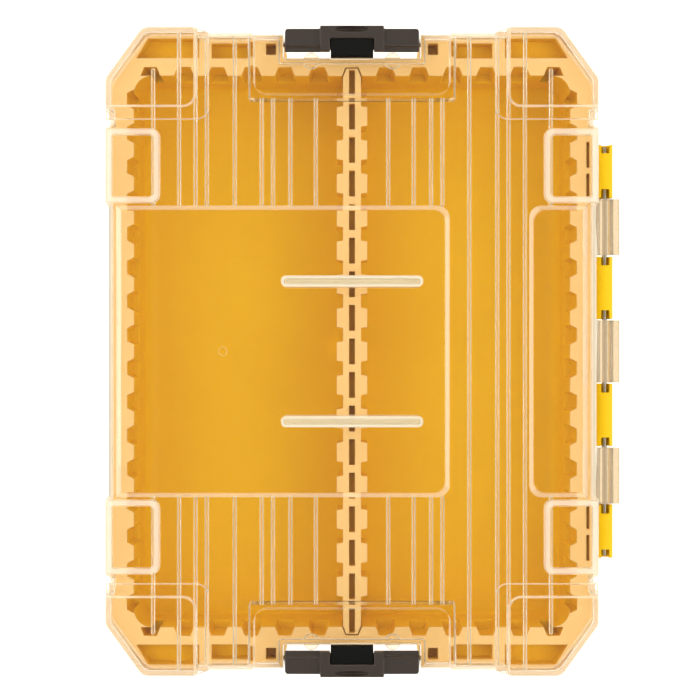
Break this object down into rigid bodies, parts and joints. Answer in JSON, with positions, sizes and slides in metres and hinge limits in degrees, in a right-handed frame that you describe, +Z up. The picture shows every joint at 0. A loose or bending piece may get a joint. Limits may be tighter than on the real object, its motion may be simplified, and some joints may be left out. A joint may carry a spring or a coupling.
{
  "type": "compartment organizer box",
  "caption": "Flat hinged organizer case: slotted yellow tray with a lift-out centre divider, clear ribbed lid on a long pin hinge, and a black lever latch at each end.",
  "frame": {"origin": "middle of the base's underside, on the skid that the case stands on", "axes": "+X towards the hinge, +Y along the case to the left-hand latch, +Z up"},
  "size_m": [0.259, 0.3262, 0.08],
  "materials": {
    "yellow_plastic": "satin",
    "clear_plastic": "gloss",
    "black_plastic": "satin",
    "steel": "satin"
  },
  "bodies": {
    "base": {"base_tray": "yellow_plastic", "centre_divider": "yellow_plastic", "hinge_pin": "steel", "left_latch_pin": "steel", "right_latch_pin": "steel"},
    "lid": {"lid_shell": "clear_plastic", "left_hold_down_bar": "clear_plastic", "right_hold_down_bar": "clear_plastic"},
    "left_latch": {"left_latch_lever": "black_plastic", "left_latch_tongue": "black_plastic"},
    "right_latch": {"right_latch_lever": "black_plastic", "right_latch_tongue": "black_plastic"}
  },
  "joints": [
    {"name": "lid_hinge", "type": "hinge", "parent": "base", "child": "lid", "pos_m": [0.1279, 0, 0.054], "axis": [0, 1, 0], "range_deg": [0, 110]},
    {"name": "left_latch_pivot", "type": "hinge", "parent": "base", "child": "left_latch", "pos_m": [0, 0.1566, 0.046], "axis": [-1, 0, 0], "range_deg": [0, 100]},
    {"name": "right_latch_pivot", "type": "hinge", "parent": "base", "child": "right_latch", "pos_m": [0, -0.1566, 0.046], "axis": [1, 0, 0], "range_deg": [0, 100]}
  ]
}
